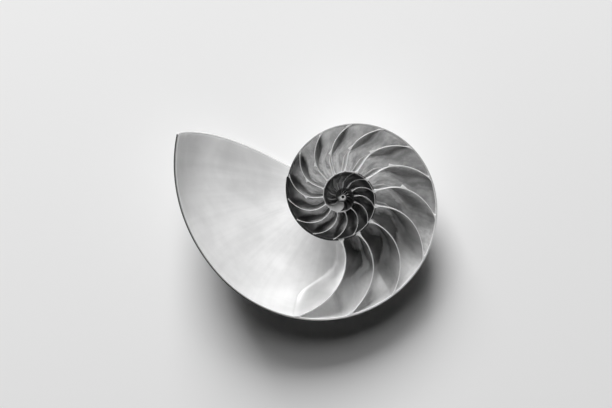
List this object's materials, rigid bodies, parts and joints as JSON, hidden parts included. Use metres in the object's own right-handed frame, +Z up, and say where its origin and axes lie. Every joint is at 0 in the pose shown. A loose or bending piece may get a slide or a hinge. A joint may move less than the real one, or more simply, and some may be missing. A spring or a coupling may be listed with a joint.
{
  "type": "nautilus shell half",
  "caption": "Chambered nautilus shell sawn in half along its coil, lying on its flank with the curved walls, gas chambers and open body chamber showing.",
  "frame": {"origin": "middle of the shell's bounding box, at the surface that it rests on", "axes": "+Z up from the surface that it rests on; the sawn face looks up, leaning 10.5 degrees; +X is the picture's right and +Y its top"},
  "size_m": [0.1584, 0.1196, 0.049],
  "materials": {
    "nacre": "polished mother of pearl, satin gloss"
  },
  "bodies": {
    "root": {"nautilus_shell_half": "nacre"}
  },
  "joints": []
}
